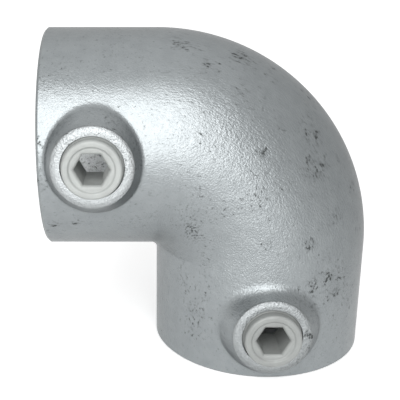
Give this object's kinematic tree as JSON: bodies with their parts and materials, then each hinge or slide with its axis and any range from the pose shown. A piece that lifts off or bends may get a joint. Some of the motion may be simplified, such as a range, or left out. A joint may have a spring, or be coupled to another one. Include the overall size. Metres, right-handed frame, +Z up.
{
  "type": "pipe elbow coupling",
  "caption": "Right-angle clamp elbow for round tube: two open sockets joined by a hollow bend, each with a raised boss and a hollow hexagon-socket set screw that grips the tube.",
  "frame": {"origin": "centre of the lower socket's mouth, in the plane of its end face, which the elbow stands on", "axes": "+Z up along the lower socket's axis; the side socket opens along -X; both set screws point out along -Y"},
  "size_m": [0.0947, 0.0697, 0.0947],
  "materials": {
    "galvanised_iron": "hot-dip galvanised malleable iron casting, semi-bright with a fine orange-peel texture and small dark pits",
    "coated_steel": "matte light grey protective coating on steel"
  },
  "bodies": {
    "casting": {"elbow_casting": "galvanised_iron"},
    "side_screw": {"side_set_screw": "coated_steel"},
    "lower_screw": {"lower_set_screw": "coated_steel"}
  },
  "joints": [
    {"name": "side_screw_travel", "type": "slide", "parent": "casting", "child": "side_screw", "axis": [0, -1, 0], "range_m": [-0.00267, 0.00535]},
    {"name": "lower_screw_travel", "type": "slide", "parent": "casting", "child": "lower_screw", "axis": [0, -1, 0], "range_m": [-0.00267, 0.00535]}
  ]
}
